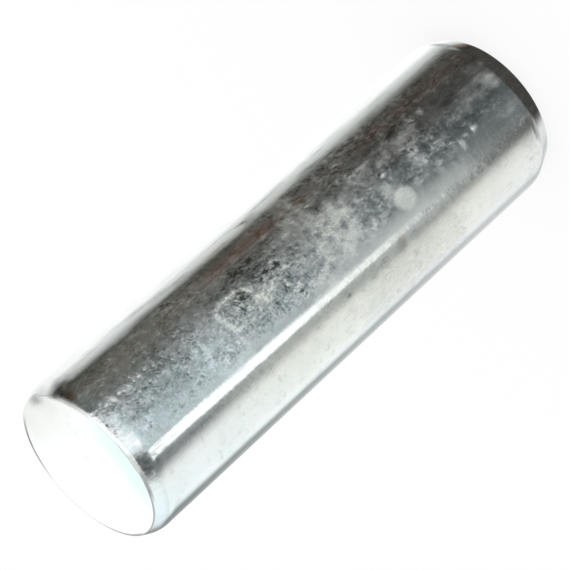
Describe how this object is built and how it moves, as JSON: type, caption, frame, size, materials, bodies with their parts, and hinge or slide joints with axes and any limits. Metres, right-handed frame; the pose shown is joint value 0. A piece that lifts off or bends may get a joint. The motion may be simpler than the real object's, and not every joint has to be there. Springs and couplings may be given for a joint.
{
  "type": "hinge pin",
  "caption": "Plain round steel hinge pin with flat ends and a short lead-in cone at each end.",
  "frame": {"origin": "centre of the foot face, the end with the longer lead-in cone, on which the pin stands", "axes": "+Z along the pin's axis, from the foot face to the top face; the pin is round, so X and Y are free"},
  "size_m": [0.025, 0.025, 0.082],
  "materials": {
    "zinc_plated_steel": "bright zinc plate over turned steel, handled, with dull stains, fine lengthwise scratches and small nicks"
  },
  "bodies": {
    "root": {"hinge_pin": "zinc_plated_steel"}
  },
  "joints": []
}
